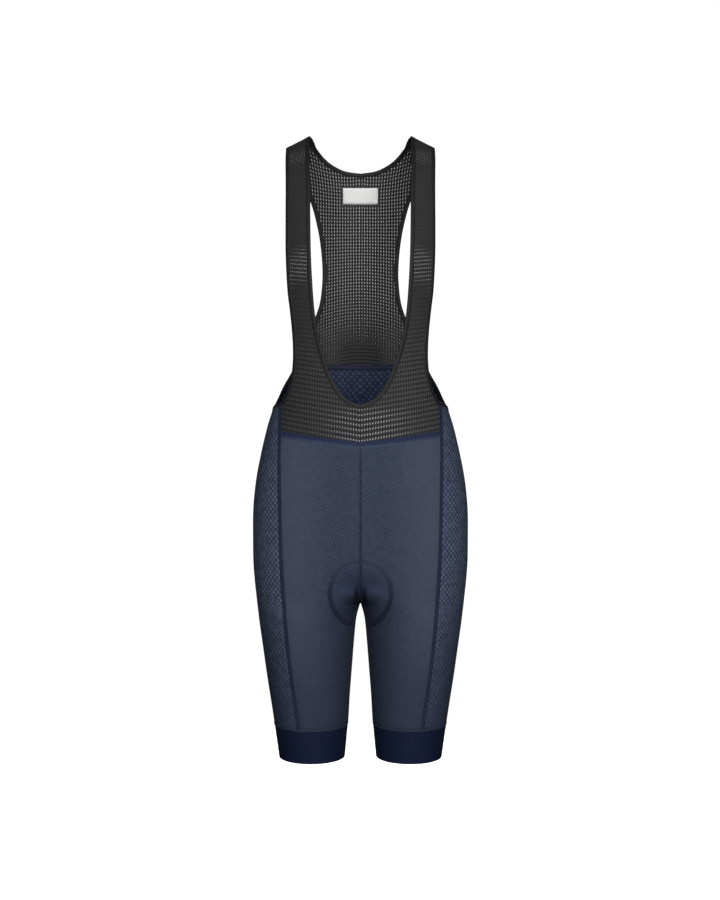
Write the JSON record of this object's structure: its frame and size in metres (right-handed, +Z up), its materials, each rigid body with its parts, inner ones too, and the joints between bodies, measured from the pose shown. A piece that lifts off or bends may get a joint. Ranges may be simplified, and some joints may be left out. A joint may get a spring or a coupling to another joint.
{
  "type": "cycling bib shorts",
  "caption": "Sleeveless cycling bib shorts with wide net shoulder straps, a net back, snug knit legs with smooth end bands, and a seat pad inside.",
  "frame": {"origin": "where the shoulders carry the garment: midway between the two shoulder seams, at the middle of their height, with the straps' front and back halves equally far from y = 0 there", "axes": "+Z up, +X to the wearer's left, the front faces -Y"},
  "size_m": [0.3318, 0.236, 0.9599],
  "materials": {
    "black_net": "matt",
    "blue_knit": "satin",
    "tape": "matt",
    "binding": "satin",
    "band": "satin",
    "pad": "matt",
    "label": "satin"
  },
  "bodies": {
    "root": {"bib_front": "black_net", "back_net": "black_net", "back_yoke": "blue_knit", "waist_tape": "tape", "neck_binding": "binding", "armhole_binding_left": "binding", "armhole_binding_right": "binding", "front_left": "blue_knit", "front_right": "blue_knit", "side_left": "blue_knit", "side_right": "blue_knit", "leg_band_left": "band", "leg_band_right": "band", "seat_pad": "pad", "neck_label": "label"}
  },
  "joints": []
}
